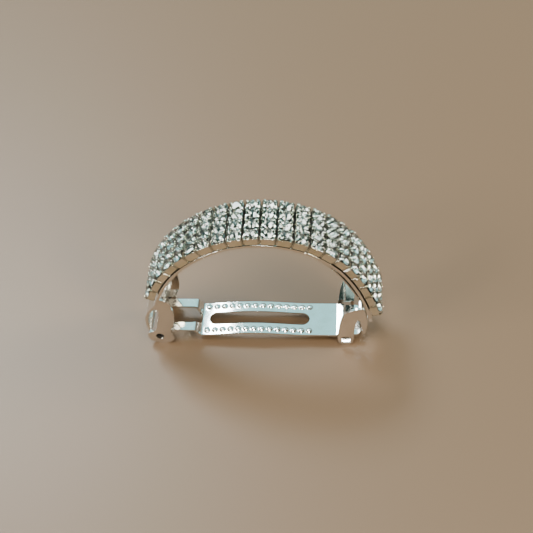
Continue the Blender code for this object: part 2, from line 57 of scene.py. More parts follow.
# The arch that the cups sit on: tangent arcs (radius, length) from its top down each side.
ARCH_APEX = (0.84, 31.22)
LEFT_ARCS = (
    (20.5, 9.6), (25.6, 20.3), (-6.0, 2.2), (math.inf, 1.3), (5.0, 3.0), (14.0, 3.2), (1.7, 1.6),
)
RIGHT_ARCS = ((19.6, 20.8), (39.4, 12.5), (12.0, 3.6))
LEFT_END = -sum(length for radius, length in LEFT_ARCS)
RIGHT_END = sum(length for radius, length in RIGHT_ARCS)
ARCH_SLOPE_REACH = 0.01
NEAR_REPEAT = 0.02

# Cup chain and stones. Heights are above the seat. The cups near the arch's top reach down by a skirt.
CUPS_PER_ROW = 21
ROWS = 4
CUP_PITCH = 3.0
ROW_PITCH = 2.46
CHAIN_START = -29.9
CUP_HALF_WIDTH = 1.20
CUP_HALF_LENGTH = 1.25
CUP_WALL = 0.13
CUP_WALL_HEIGHT = 1.42
END_WALL_DROP = 0.12
END_WALL_OVERLAP = 0.05
CUP_FLOOR = 0.35
CUP_SKIRT = 0.26
SKIRTED_CUPS = range(4, 15)
HAIRLINE = 0.002
FACE_TOLERANCE = 0.01
LINK_HALF_LENGTH = 0.5
LINK_HALF_WIDTH = 0.45
LINK_HEIGHTS = (0.04, 0.26)
CUP_ROUNDING = 0.03
# A claw: along the chain, across it, up, half width, and how far its width has turned towards the stone.
CLAW = (
    (1.30, 0.92, -0.10, 0.24, 0.0), (1.31, 0.92, 0.80, 0.24, 0.0), (1.31, 0.92, 1.50, 0.22, 0.0),
    (1.27, 0.90, 1.72, 0.19, 0.2), (1.15, 0.82, 1.90, 0.16, 0.5), (0.98, 0.70, 1.99, 0.13, 0.8),
    (0.82, 0.59, 2.01, 0.08, 1.0),
)
CLAW_THICKNESS = 0.17
STONE_SIDES = 8
GIRDLE_RADIUS = 1.17
GIRDLE = (1.60, 1.68)
TABLE = (0.60, 2.15)
BEZEL = (0.95, 1.97)
CULET = (0.10, 0.62)
FOIL_FACING = -0.2
STONE_TILT = 7.0

# Sheet metal. Depths are below the cups' seat, and roundings are the widths of rounded edges.
PLATE_DEPTH = 0.3
PLATE_THICKNESS = 0.6
PLATE_INSIDE = PLATE_DEPTH + PLATE_THICKNESS
PLATE_HALF_WIDTH = 5.0
PLATE_HINGE_CORNER = 1.2
PLATE_CLASP_CORNER = 3.2
PLATE_ROUNDING = 0.12
SEWING_HOLE = (3.4, 0.7)
SPRING_GAP = 0.3
SPRING_THICKNESS = 0.3
SPRING_HALF_WIDTH = 4.3
SPRING_FREE_END = -7.2
SPRING_FREE_CORNER = 2.6
SPRING_FIXED_END = 36.0
SPRING_FIXED_CORNER = 1.4
SPRING_TAPER_START = 28.0
SPRING_TAPER_LENGTH = 3.0
SPRING_TAPER = 1.1
SPRING_BULGE_MIDDLE = 20.0
SPRING_BULGE_REACH = 13.0
SPRING_BULGE = 0.45
SPRING_ROUNDING = 0.06
WALL_THICKNESS = 0.5
WALL_OUTER_Y = 4.85
EDGE_ROUNDING = 0.09
OUTLINE_STEPS = 10
TURNED_SIDES = 40
MERGE_DISTANCE = 0.0005

# Hinge ears.
EAR_BEND_STATIONS = (-32.3, -31.3, -30.3, -29.2)
EAR_BEND_RADIUS = 0.9
EAR_ROOT = 0.25
EAR_FOOT_CENTRE = (-21.35, 1.9)
EAR_FOOT_RADII = (2.75, 1.9)
EAR_ROUNDING = 0.13
BEND_OVERLAP = 0.05

# Hinge pin and arm.
PIN = (-21.65, 2.3)
PIN_RADIUS = 0.78
PIN_BORE_RADIUS = 0.64
PIN_CLEARANCE = 0.06
PIN_RECESS = 0.2
PIN_LIP = 0.04
KNUCKLE_RADIUS = 1.28
KNUCKLE_TURN = math.radians(295)
LEG_INNER_Y = 2.1
LEG_GAP_END = -13.2
ARM_THICKNESS = 0.45
ARM_HALF_WIDTH = 4.1
TONGUE_HALF_WIDTH = 3.8
JOGGLE_START = -14.6
JOGGLE_END = -13.1
BOW_END = 8.4
ARM_SHOULDER = 14.9
SHOULDER_LENGTH = 0.5
RAMP_TOP = 16.3
RAMP_END = 16.7
ARM_END = 19.8
ARM_TIP_CORNER = 1.0
BODY_START_HEIGHT = 2.05
BODY_END_HEIGHT = 2.3
BOW_RISE = 0.7
BOW_POWER = 1.5
RAMP_RISE = 0.34
ARM_SLOPE_REACH = 0.02
SLOT = (-11.7, 9.3, 1.58)
DIMPLES_PER_ROW = 14
DIMPLE_ROW_Y = 3.03
DIMPLE_START = -12.0
DIMPLE_PITCH = 1.64
DIMPLE_RADIUS = 0.56
DIMPLE_RISE = 0.26
DIMPLE_POWER = 0.8

# Clasp. The hook's window runs along X from HOOK_START to HOOK_END, and its section is scaled to its height.
RIVET_STATION = 35.0
RIVET_RADIUS = 0.6
RIVET_HOLE_RADIUS = RIVET_RADIUS + 0.08
RIVET_BORE_RADIUS = 0.35
RIVET_HEAD_RADIUS = 1.05
RIVET_HEAD_HEIGHT = 0.25
RIVET_HEAD_SLOPE = 0.3
RIVET_HEAD_CROWN = 0.09
RIVET_OUTER_SINK = 0.05
RIVET_INNER_GAP = 0.14
WEB_DEPTH = PLATE_INSIDE + 0.9
WEB_STATIONS = (30.8, 36.9)
WEB_SIDE_GAP = 0.3
CHEEK_STATIONS = (36.4, 34.5, 32.6, 30.6)
CHEEK_GAP = 0.3
CHEEK_ROUNDING = 0.11
HOOK_START = 16.0
HOOK_END = 17.8
HOOK_FOOT = 0.85
HOOK_CREST = 1.5
HOOK_RECESS = 0.12
HOOK_SIDE_GAP = 0.02
HOOK_LIP_Y = 3.94
HOOK_THICKNESS = 0.25
HOOK_ROUNDING = 0.05
# From the hook's root to its lip: shares of its reach and of its height, and how far its sides are drawn in.
HOOK_SECTION = ((0.0, -0.22, 0.0), (0.0, 0.0, 0.0), (0.1, 0.07, 0.0), (0.9, 0.57, 0.0), (1.0, 0.66, 0.1))
HOOK_WINDOW_TOP = 2.7
HOOK_WINDOW_CORNER = 0.3

# Metal and glass textures: noise scales in features per metre.
GRAIN = (900.0, 5200.0, 5200.0)
TARNISH_SCALE = 260.0
TINT_SCALE = 170.0
RUB_SCALE = 5200.0
BUMP_HEIGHT = 0.00002
GLASS_IOR = 1.56

FLOOR_COLOUR = (0.096, 0.055, 0.027)
FLOOR_ROUGHNESS = 0.44
FLOOR_IOR = 1.47
FLOOR_REACH = 2.0

# The room: its colours by nearness to the middle of a glow in the sky (1 there, 0 at a right angle to it),
# and a dark patch.
GLOW = (-0.1, 0.6, 0.79)
SKY = (
    (0.0, (0.13, 0.115, 0.09, 1.0)), (0.50, (0.22, 0.20, 0.16, 1.0)), (0.75, (0.40, 0.49, 0.46, 1.0)),
    (0.88, (0.60, 1.26, 1.32, 1.0)), (1.0, (0.66, 1.36, 1.42, 1.0)),
)
DARK_PATCH = (0.1, -0.6, 0.79)
DARK_PATCH_EDGE = (0.72, 0.87)
DARK_PATCH_COLOUR = (0.006, 0.028, 0.024, 1.0)
ROOM_STRENGTH = 0.9

# Soft boxes: name, azimuth, elevation, distance, size, power and colour, in degrees, metres and watts.
WHITE = (0.98, 1.0, 0.96)
SOFT_BOXES = (
    ("window", -40, 50, 1.2, (0.42, 0.28), 15.5, (0.92, 1.0, 1.02)),
    ("overhead", 185, 76, 1.2, (0.36, 0.40), 16.0, WHITE),
    ("side_window", 75, 30, 1.4, (0.33, 0.44), 25.0, WHITE),
    ("left_window", -108, 28, 1.4, (0.33, 0.44), 14.0, WHITE),
    ("front_left", 235, 30, 1.4, (0.25, 0.32), 14.0, WHITE),
    ("front_right", 128, 30, 1.4, (0.25, 0.32), 19.0, (1.0, 0.96, 0.78)),
)
LIGHT_TARGET = (0.0, 0.0, 15.0)

CAMERA_LENS = 69.45
CAMERA_PLACE = (18.05, -130.72, 172.71)
CAMERA_TURN = (40.51, 3.445, 3.283)


# ---------------------------------------------------------------- the arch

def arch_point(station, depth=0.0):
    """Point (x, z) of the arch at an arc length from its top, some depth below the cups' seat."""
    side = 1.0 if station >= 0 else -1.0
    remaining = abs(station)
    slope = 0.0
    x = 0.0
    z = 0.0
    for radius, length in RIGHT_ARCS if side > 0 else LEFT_ARCS:
        step = min(remaining, length)
        turn = step / radius
        chord = step if turn == 0 else 2 * radius * math.sin(turn / 2)
        x += chord * math.cos(slope + turn / 2)
        z -= chord * math.sin(slope + turn / 2)
        slope += turn
        remaining -= step
    return (
        ARCH_APEX[0] + side * (x - depth * math.sin(slope)),
        ARCH_APEX[1] + z - depth * math.cos(slope),
    )


def arch_slope(station):
    """Angle of the arch below horizontal, in radians, positive where it falls to the right."""
    before = arch_point(station - ARCH_SLOPE_REACH)
    after = arch_point(station + ARCH_SLOPE_REACH)
    return math.atan2(before[1] - after[1], after[0] - before[0])


def seat_frame(station, y):
    """Frame on the arch: X along it, Z out of it."""
    x, z = arch_point(station)
    return Matrix.Translation((x, y, z)) @ Matrix.Rotation(arch_slope(station), 4, "Y")


def spread(start, end, count):
    return [start + (end - start) * i / (count - 1) for i in range(count)]


def smooth_step(t):
    t = min(max(t, 0.0), 1.0)
    return t * t * (3 - 2 * t)


def cosine_spaced(centre, radius, count):
    """Stations across a round hole, closer together at its two sides."""
    return [centre - radius * math.cos(math.pi * i / count) for i in range(count + 1)]


def from_tip(tip, length, count):
    """Stations from a rounded tip inwards, closer together near the tip. A negative length runs back."""
    return [tip + length * (1 - math.cos(math.pi / 2 * i / count)) for i in range(count + 1)]


def columns_of(*runs):
    """Stations of several runs in order, without near repeats."""
    kept = []
    for station in sorted(value for run in runs for value in run):
        if not kept or station - kept[-1] > NEAR_REPEAT:
            kept.append(station)
    return kept


def round_hole(station, centre, radius):
    """Half width of a round hole at a station, 0 outside it."""
    return math.sqrt(max(radius ** 2 - (station - centre) ** 2, 0.0))


# ---------------------------------------------------------------- materials

def shader_material(name, colour, metallic, roughness):
    made = bpy.data.materials.new(name)
    made.use_nodes = True
    shader = made.node_tree.nodes["Principled BSDF"]
    shader.inputs["Base Color"].default_value = (*colour, 1.0)
    shader.inputs["Metallic"].default_value = metallic
    shader.inputs["Roughness"].default_value = roughness
    made.diffuse_color = (*colour, 1.0)
    return made, shader


def node(tree, kind, **settings):
    new = tree.nodes.new(kind)
    for key, value in settings.items():
        if key in new.inputs:
            new.inputs[key].default_value = value
        else:
            setattr(new, key, value)
    return new


def remapped(tree, source, old, new):
    """A socket's value moved from one range to another and kept inside it."""
    mapping = node(tree, "ShaderNodeMapRange")
    mapping.inputs["From Min"].default_value, mapping.inputs["From Max"].default_value = old
    mapping.inputs["To Min"].default_value, mapping.inputs["To Max"].default_value = new
    tree.links.new(source, mapping.inputs["Value"])
    return mapping.outputs["Result"]


def mixed(tree, amount, first, second):
    """Two colours mixed by a socket's value."""
    mix = node(tree, "ShaderNodeMix", data_type="RGBA")
    mix.inputs["A"].default_value = (*first, 1.0)
    mix.inputs["B"].default_value = (*second, 1.0)
    tree.links.new(amount, mix.inputs["Factor"])
    return mix.outputs["Result"]


def metal(name, colour, tarnish, roughness, scratch=0.02):
    """Plated metal: patchy tarnish, fine rubbing scratches along X, and a roughness that varies with them."""
    made, shader = shader_material(name, colour, 1.0, roughness)
    tree = made.node_tree
    link = tree.links.new
    where = node(tree, "ShaderNodeTexCoord").outputs["Object"]
    stretch = node(tree, "ShaderNodeMapping", Scale=GRAIN)
    link(where, stretch.inputs["Vector"])
    lines = node(tree, "ShaderNodeTexNoise", Scale=1.0, Detail=4.0, Roughness=0.65)
    link(stretch.outputs["Vector"], lines.inputs["Vector"])
    patches = node(tree, "ShaderNodeTexNoise", Scale=TARNISH_SCALE, Detail=5.0, Roughness=0.6)
    link(where, patches.inputs["Vector"])
    amount = remapped(tree, patches.outputs["Fac"], (0.45, 0.8), (0.0, 1.0))
    link(mixed(tree, amount, colour, tarnish), shader.inputs["Base Color"])
    rough = remapped(tree, lines.outputs["Fac"], (0.3, 0.75), (roughness * 0.6, roughness * 1.7))
    link(rough, shader.inputs["Roughness"])
    bump = node(tree, "ShaderNodeBump", Strength=scratch, Distance=BUMP_HEIGHT)
    link(lines.outputs["Fac"], bump.inputs["Height"])
    link(bump.outputs["Normal"], shader.inputs["Normal"])
    return made


def glass(name):
    """Clear lead glass whose faint tint drifts between cool and warm, with a few hairline rubs."""
    made, shader = shader_material(name, (0.97, 0.985, 0.975), 0.0, 0.0)
    tree = made.node_tree
    link = tree.links.new
    shader.inputs["Transmission Weight"].default_value = 1.0
    shader.inputs["IOR"].default_value = GLASS_IOR
    where = node(tree, "ShaderNodeTexCoord").outputs["Object"]
    drift = node(tree, "ShaderNodeTexNoise", Scale=TINT_SCALE, Detail=2.0)
    link(where, drift.inputs["Vector"])
    tint = mixed(tree, drift.outputs["Fac"], (0.96, 0.985, 0.97), (0.99, 0.985, 0.93))
    link(tint, shader.inputs["Base Color"])
    rubs = node(tree, "ShaderNodeTexNoise", Scale=RUB_SCALE, Detail=3.0)
    link(where, rubs.inputs["Vector"])
    link(remapped(tree, rubs.outputs["Fac"], (0.62, 0.85), (0.0, 0.12)), shader.inputs["Roughness"])
    return made


# ---------------------------------------------------------------- shared builders

def mesh_of(name, bm):
    mesh = bpy.data.meshes.new(name)
    bm.to_mesh(mesh)
    bm.free()
    return mesh


def add_piece(name, mesh, place, body, replaced):
    """Put a finished mesh in its place as a piece that rides on a body and stands for CAD nodes."""
    obj = bpy.data.objects.new(name, mesh)
    bpy.context.scene.collection.objects.link(obj)
    obj.matrix_world = place
    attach(obj, body)
    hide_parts(*replaced)
    return obj


def metal_piece(name, mesh, body, slot, replaced, *finishes):
    """A piece from a mesh in millimetres, with its finishes in the order of its material numbers."""
    mesh.transform(Matrix.Scale(MM, 4))
    for finish in finishes:
        mesh.materials.append(finish)
    return add_piece(name, mesh, Matrix.Identity(4), body, replaced)


def rounded_edges(obj, width, segments=2, angle=40):
    """Round the edges that are sharper than an angle, and smooth the faces between them."""
    bevel = obj.modifiers.new("rounded edges", "BEVEL")
    bevel.width = width * MM
    bevel.segments = segments
    bevel.limit_method = "ANGLE"
    bevel.angle_limit = math.radians(angle)
    bevel.harden_normals = True
    obj.data.shade_smooth()


def thickened(obj, thickness, offset):
    """Give a sheet its thickness: behind its surface at offset -1, or half to each side at 0."""
    solidify = obj.modifiers.new("thickness", "SOLIDIFY")
    solidify.thickness = thickness * MM
    solidify.offset = offset
    solidify.use_even_offset = True


def cut_sheet(name, columns, place, outer, inner, rows, lift=None):
    """A cut blank bent to shape, as an open surface that faces along its normal.

    columns are the stations where it is divided, and rows the strips on each side of its middle.
    place(s) gives (x, z, normal x, normal z) at a station, outer(s) and inner(s) the half widths of the
    blank and of the hole along its middle there, and lift(s, y) how far the surface is pressed out.
    """
    bm = bmesh.new()
    for side in (-1, 1):
        before = None
        for station in columns:
            x, z, nx, nz = place(station)
            low, high = inner(station), outer(station)
            here = []
            for row in range(rows + 1):
                y = side * (low + (high - low) * row / rows)
                up = lift(station, y) if lift else 0.0
                here.append(bm.verts.new((x + nx * up, y, z + nz * up)))
            if before:
                for a, b, c, d in zip(before, before[1:], here[1:], here):
                    bm.faces.new((a, b, c, d) if side < 0 else (d, c, b, a))
            before = here
    bmesh.ops.remove_doubles(bm, verts=bm.verts, dist=MERGE_DISTANCE)
    bmesh.ops.dissolve_degenerate(bm, edges=bm.edges, dist=MERGE_DISTANCE)
    return mesh_of(name, bm)


def along_arch(depth):
    """Placing function for a sheet that follows the arch, depth(station) below the cups' seat."""
    def place(station):
        x, z = arch_point(station, depth(station))
        slope = arch_slope(station)
        return x, z, math.sin(slope), math.cos(slope)
    return place


def rounded_half_width(distance_to_tip, half_width, radius):
    """Half width of a strip whose end corners are rounded, at a distance from its end."""
    if distance_to_tip >= radius:
        return half_width
    return half_width - radius + math.sqrt(max(radius ** 2 - (radius - distance_to_tip) ** 2, 0.0))


def smooth_outline(points):
    """Closed outline through (x, z, round) points: a Catmull-Rom curve, with corners where round is 0."""
    count = len(points)
    outline = []
    for i in range(count):
        before, here, after, beyond = (points[(i + k) % count] for k in (-1, 0, 1, 2))
        if not here[2]:
            before = here
        if not after[2]:
            beyond = after
        for step in range(OUTLINE_STEPS if here[2] or after[2] else 1):
            t = step / OUTLINE_STEPS
            outline.append(tuple(
                0.5 * (2 * here[a] + (after[a] - before[a]) * t
                       + (2 * before[a] - 5 * here[a] + 4 * after[a] - beyond[a]) * t ** 2
                       + (3 * here[a] - before[a] - 3 * after[a] + beyond[a]) * t ** 3)
                for a in (0, 1)
            ))
    return outline


def arc(centre, radii, start, end, count):
    """Points (x, z) along an arc of an ellipse between two angles in degrees."""
    turns = [math.radians(degrees) for degrees in spread(start, end, count)]
    return [(centre[0] + radii[0] * math.cos(turn), centre[1] + radii[1] * math.sin(turn)) for turn in turns]


def stamped_wall(name, outlines, y):
    """A flat stamping that stands in the XZ plane, centred on y, from its (x, z) outlines."""
    curve = bpy.data.curves.new(name, "CURVE")
    curve.dimensions = "2D"
    curve.fill_mode = "BOTH"
    curve.extrude = WALL_THICKNESS / 2
    for outline in outlines:
        spline = curve.splines.new("POLY")
        spline.points.add(len(outline) - 1)
        for point, (u, v) in zip(spline.points, outline):
            point.co = (u, v, 0.0, 1.0)
        spline.use_cyclic_u = True
    holder = bpy.data.objects.new(name, curve)
    bpy.context.scene.collection.objects.link(holder)
    bpy.context.view_layer.update()
    graph = bpy.context.evaluated_depsgraph_get()
    mesh = bpy.data.meshes.new_from_object(holder.evaluated_get(graph))
    bpy.data.objects.remove(holder, do_unlink=True)
    bm = bmesh.new()
    bm.from_mesh(mesh)
    bpy.data.meshes.remove(mesh)
    bmesh.ops.remove_doubles(bm, verts=bm.verts, dist=MERGE_DISTANCE)
    bmesh.ops.dissolve_limit(bm, angle_limit=math.radians(1), verts=bm.verts, edges=bm.edges)
    upright = Matrix.Translation((0.0, y, 0.0)) @ Matrix.Rotation(math.pi / 2, 4, "X")
    bmesh.ops.transform(bm, matrix=upright, verts=bm.verts)
    bmesh.ops.recalc_face_normals(bm, faces=bm.faces)
    return mesh_of(name, bm)


def join_rings(bm, rings):
    """Faces between each closed ring of vertices and the next one."""
    for ring, following in zip(rings, rings[1:]):
        for i in range(len(ring)):
            j = (i + 1) % len(ring)
            bm.faces.new((ring[i], ring[j], following[j], following[i]))


def smooth_but_for_creases(mesh, crease):
    mesh.shade_smooth()
    mesh.set_sharp_from_angle(angle=math.radians(crease))


def turned(name, profile, axis):
    """A closed (radius, height) profile spun about the Z axis of a frame."""
    bm = bmesh.new()
    rings = []
    for i in range(TURNED_SIDES):
        angle = 2 * math.pi * i / TURNED_SIDES
        rings.append([
            bm.verts.new(axis @ Vector((radius * math.cos(angle), radius * math.sin(angle), height)))
            for radius, height in profile
        ])
    join_rings(bm, rings + rings[:1])
    bmesh.ops.recalc_face_normals(bm, faces=bm.faces)
    mesh = mesh_of(name, bm)
    smooth_but_for_creases(mesh, 50)
    return mesh


def add_mesh(bm, mesh, matrix):
    """Add a copy of a mesh, moved by a matrix, to the mesh being built."""
    before = len(bm.verts)
    bm.from_mesh(mesh)
    bm.verts.ensure_lookup_table()
    bmesh.ops.transform(bm, matrix=matrix, verts=bm.verts[before:])


# ---------------------------------------------------------------- base plate

def ear_outline():
    """Side view of a hinge ear: from the plate's edge to a waist and then an oval foot."""
    plate_edge = [(*arch_point(station, PLATE_INSIDE - EAR_ROOT), 0) for station in EAR_BEND_STATIONS]
    right_side = [
        (-18.7, 13.35, 1), (-18.0, 11.0, 1), (-17.9, 8.6, 1), (-18.25, 6.5, 1), (-18.85, 4.9, 1),
        (-19.2, 3.7, 1), (-18.9, 2.8, 1),
    ]
    foot = [(x, z, 0) for x, z in arc(EAR_FOOT_CENTRE, EAR_FOOT_RADII, -5, -175, 45)]
    left_side = [
        (-24.2, 2.8, 1), (-23.8, 3.5, 1), (-22.85, 3.85, 1), (-22.2, 4.5, 1), (-21.8, 5.8, 1),
        (-21.4, 7.7, 1), (-21.1, 9.4, 1), (-21.0, 10.6, 1),
    ]
    return smooth_outline(plate_edge + right_side + foot + left_side)


def inside_bend(side):
    """The metal inside the curve where an ear is bent down from the plate: a concave quarter round."""
    radius = EAR_BEND_RADIUS
    ear_face = WALL_OUTER_Y - WALL_THICKNESS
    section = [(ear_face + BEND_OVERLAP, PLATE_INSIDE + down) for down in (-BEND_OVERLAP, radius)]
    section += [
        (ear_face - radius * (1 - math.cos(turn)), PLATE_INSIDE + radius * (1 - math.sin(turn)))
        for turn in spread(0.0, math.pi / 2, 9)
    ]
    section.append((ear_face - radius, PLATE_INSIDE - BEND_OVERLAP))
    bm = bmesh.new()
    rings = []
    for station in spread(EAR_BEND_STATIONS[0], EAR_BEND_STATIONS[-1], 24):
        seat = seat_frame(station, 0.0)
        rings.append([bm.verts.new(seat @ Vector((0.0, side * across, -down))) for across, down in section])
    join_rings(bm, rings)
    bm.faces.new(rings[0])
    bm.faces.new(rings[-1][::-1])
    bmesh.ops.recalc_face_normals(bm, faces=bm.faces)
    mesh = mesh_of("ear_bend", bm)
    smooth_but_for_creases(mesh, 40)
    return mesh


def base_plate(finish):
    """The arched strip with its sewing hole and rivet hole."""
    hole, hole_radius = LEFT_END + SEWING_HOLE[0], SEWING_HOLE[1]

    def outer(station):
        return min(
            rounded_half_width(station - LEFT_END, PLATE_HALF_WIDTH, PLATE_HINGE_CORNER),
            rounded_half_width(RIGHT_END - station, PLATE_HALF_WIDTH, PLATE_CLASP_CORNER),
        )

    def inner(station):
        return max(round_hole(station, hole, hole_radius), rivet_hole(station))

    columns = columns_of(
        from_tip(LEFT_END, PLATE_HINGE_CORNER, 12), from_tip(RIGHT_END, -PLATE_CLASP_CORNER, 12),
        spread(LEFT_END + PLATE_HINGE_CORNER, CHAIN_START + 1, 60),
        spread(CHAIN_START + 1, RIGHT_END - PLATE_CLASP_CORNER, 130),
        cosine_spaced(hole, hole_radius, 10), cosine_spaced(RIVET_STATION, RIVET_HOLE_RADIUS, 8),
    )
    mesh = cut_sheet("barrette_plate", columns, along_arch(lambda s: PLATE_DEPTH), outer, inner, 6)
    plate = metal_piece("barrette_plate", mesh, "base", "silver_plate", ["base_plate"], finish)
    thickened(plate, PLATE_THICKNESS, -1.0)
    rounded_edges(plate, PLATE_ROUNDING, 3)


def hinge_ear(word, side, finish):
    """An ear with its pin hole, and the bend that joins it to the plate."""
    outlines = [ear_outline(), arc(PIN, (PIN_RADIUS + PIN_CLEARANCE,) * 2, 0, 350, 36)]
    mesh = stamped_wall("hinge_ear", outlines, side * (WALL_OUTER_Y - WALL_THICKNESS / 2))
    ear = metal_piece(f"hinge_ear_{word}", mesh, "base", "silver_plate", ["base_plate"], finish)
    rounded_edges(ear, EAR_ROUNDING, 3)
    metal_piece(f"ear_bend_{word}", inside_bend(side), "base", "silver_plate", ["base_plate"], finish)


def hinge_pin(finish, tube_shade):
    """The tube that the arm turns on, plated outside, with its bore and recessed ends painted near-black as
    shade.
    """
    half = WALL_OUTER_Y - PIN_RECESS
    profile = [
        (PIN_BORE_RADIUS, -half + PIN_LIP), (PIN_BORE_RADIUS + PIN_LIP, -half), (PIN_RADIUS - PIN_LIP, -half),
        (PIN_RADIUS, -half + PIN_LIP), (PIN_RADIUS, half - PIN_LIP), (PIN_RADIUS - PIN_LIP, half),
        (PIN_BORE_RADIUS + PIN_LIP, half), (PIN_BORE_RADIUS, half - PIN_LIP),
    ]
    axis = Matrix.Translation((PIN[0], 0.0, PIN[1])) @ Matrix.Rotation(math.pi / 2, 4, "X")
    mesh = turned("hinge_tube", profile, axis)
    # The bore and the two ends get the near-black painted shade, so the hole through the ears looks dark.
    for face in mesh.polygons:
        x, y, z = face.center
        away = math.hypot(x - PIN[0], z - PIN[1])
        face.material_index = 1 if away < PIN_BORE_RADIUS + PIN_LIP or abs(y) > half - PIN_LIP else 0
    metal_piece("hinge_tube", mesh, "base", "silver_plate", ["hinge_pin"], finish, tube_shade)


# ---------------------------------------------------------------- arm

ROLL = KNUCKLE_RADIUS - ARM_THICKNESS / 2
ROLL_LENGTH = KNUCKLE_TURN * ROLL
ARM_LOW = BODY_START_HEIGHT - ARM_THICKNESS / 2
ARM_HIGH = BODY_END_HEIGHT - ARM_THICKNESS / 2
LEG_HEIGHT = PIN[1] + ROLL


def arm_height(x):
    """Height of the middle of the arm's sheet, from the hinge leg to the tip."""
    if x < JOGGLE_START:
        return LEG_HEIGHT
    if x < JOGGLE_END:
        step = (x - JOGGLE_START) / (JOGGLE_END - JOGGLE_START)
        return LEG_HEIGHT + (ARM_LOW - LEG_HEIGHT) * smooth_step(step)
    if x < BOW_END:
        step = (x - JOGGLE_END) / (BOW_END - JOGGLE_END)
        bow = BOW_RISE * math.sin(math.pi * step) ** BOW_POWER
        return ARM_LOW + step * (ARM_HIGH - ARM_LOW) + bow
    if ARM_SHOULDER < x < RAMP_TOP:
        return ARM_HIGH + RAMP_RISE * (x - ARM_SHOULDER) / (RAMP_TOP - ARM_SHOULDER)
    if RAMP_TOP <= x < RAMP_END:
        return ARM_HIGH + RAMP_RISE * (1 - smooth_step((x - RAMP_TOP) / (RAMP_END - RAMP_TOP)))
    return ARM_HIGH


def arm_place(station):
    """Place on the arm: x right of the pin's axis, and left of it the length rolled round the pin."""
    if station < PIN[0]:
        turn = math.pi / 2 + (PIN[0] - station) / ROLL
        out = (math.cos(turn), math.sin(turn))
        return PIN[0] + ROLL * out[0], PIN[1] + ROLL * out[1], *out
    rise = arm_height(station + ARM_SLOPE_REACH) - arm_height(station - ARM_SLOPE_REACH)
    slope = rise / (2 * ARM_SLOPE_REACH)
    length = math.hypot(1.0, slope)
    return station, arm_height(station), -slope / length, 1.0 / length


def dimple_lift(station, y):
    """How far the nearest dimple of the two rows is pressed up at a place on the arm."""
    nearest = round((station - DIMPLE_START) / DIMPLE_PITCH)
    if not 0 <= nearest < DIMPLES_PER_ROW:
        return 0.0
    along = station - (DIMPLE_START + DIMPLE_PITCH * nearest)
    away = math.hypot(along, abs(y) - DIMPLE_ROW_Y) / DIMPLE_RADIUS
    return DIMPLE_RISE * (1 - away ** 2) ** DIMPLE_POWER if away < 1 else 0.0


def arm(finish):
    """One sheet: two legs rolled round the pin, a joggle, the slotted and dimpled body, a ramp, a tongue."""
    slot_start, slot_end, slot_half = SLOT
    fine_end = BOW_END + 2

    def inner(station):
        if station < LEG_GAP_END - LEG_INNER_Y:
            return LEG_INNER_Y
        if station < LEG_GAP_END:
            return round_hole(station, LEG_GAP_END - LEG_INNER_Y, LEG_INNER_Y)
        if slot_start < station < slot_start + slot_half:
            return round_hole(station, slot_start + slot_half, slot_half)
        if slot_end - slot_half < station < slot_end:
            return round_hole(station, slot_end - slot_half, slot_half)
        return slot_half if slot_start < station < slot_end else 0.0

    def outer(station):
        if station > ARM_END - ARM_TIP_CORNER:
            return rounded_half_width(ARM_END - station, TONGUE_HALF_WIDTH, ARM_TIP_CORNER)
        narrowed = smooth_step((station - ARM_SHOULDER) / SHOULDER_LENGTH)
        return ARM_HALF_WIDTH - (ARM_HALF_WIDTH - TONGUE_HALF_WIDTH) * narrowed

    columns = columns_of(
        spread(PIN[0] - ROLL_LENGTH, PIN[0], 30), spread(PIN[0], JOGGLE_START, 24),
        from_tip(LEG_GAP_END, -LEG_INNER_Y, 12), spread(JOGGLE_START, JOGGLE_END, 16),
        spread(JOGGLE_END, fine_end, 140),
        from_tip(slot_start, slot_half, 10), from_tip(slot_end, -slot_half, 10),
        spread(fine_end, ARM_SHOULDER - 0.1, 12), spread(ARM_SHOULDER, RAMP_TOP, 10),
        spread(RAMP_TOP, RAMP_END, 9), spread(RAMP_END, ARM_END - ARM_TIP_CORNER, 8),
        from_tip(ARM_END, -ARM_TIP_CORNER, 8),
    )
    mesh = cut_sheet("slotted_arm", columns, arm_place, outer, inner, 16, dimple_lift)
    made = metal_piece("slotted_arm", mesh, "arm", "silver_plate", ["arm"], finish)
    thickened(made, ARM_THICKNESS, 0.0)
    rounded_edges(made, EDGE_ROUNDING, 2, 55)


# ---------------------------------------------------------------- tension spring and clasp

def rivet_hole(station):
    return round_hole(station, RIVET_STATION, RIVET_HOLE_RADIUS)


def spring_depth(station):
    """Depth of the leaf below the cups' seat: it hugs the plate and bulges away from it in one stretch."""
    bulge = max(0.0, 1.0 - abs(station - SPRING_BULGE_MIDDLE) / SPRING_BULGE_REACH)
    return PLATE_INSIDE + SPRING_GAP + SPRING_BULGE * math.sin(bulge * math.pi / 2) ** 2


def tension_spring(finish):
    """The leaf below the plate, rounded at its free end and narrowed towards the rivet."""
    def outer(station):
        tapered = smooth_step((station - SPRING_TAPER_START) / SPRING_TAPER_LENGTH)
        return min(
            rounded_half_width(station - SPRING_FREE_END, SPRING_HALF_WIDTH, SPRING_FREE_CORNER),
            SPRING_HALF_WIDTH - SPRING_TAPER * tapered,
            rounded_half_width(SPRING_FIXED_END - station, SPRING_HALF_WIDTH, SPRING_FIXED_CORNER),
        )

    columns = columns_of(
        from_tip(SPRING_FREE_END, SPRING_FREE_CORNER, 10),
        spread(SPRING_FREE_END + SPRING_FREE_CORNER, SPRING_FIXED_END - SPRING_FIXED_CORNER, 90),
        from_tip(SPRING_FIXED_END, -SPRING_FIXED_CORNER, 6),
        cosine_spaced(RIVET_STATION, RIVET_HOLE_RADIUS, 8),
    )
    mesh = cut_sheet("spring_leaf", columns, along_arch(spring_depth), outer, rivet_hole, 6)
    leaf = metal_piece("spring_leaf", mesh, "leaf", "spring_steel", ["tension_spring"], finish)
    thickened(leaf, SPRING_THICKNESS, -1.0)
    rounded_edges(leaf, SPRING_ROUNDING)


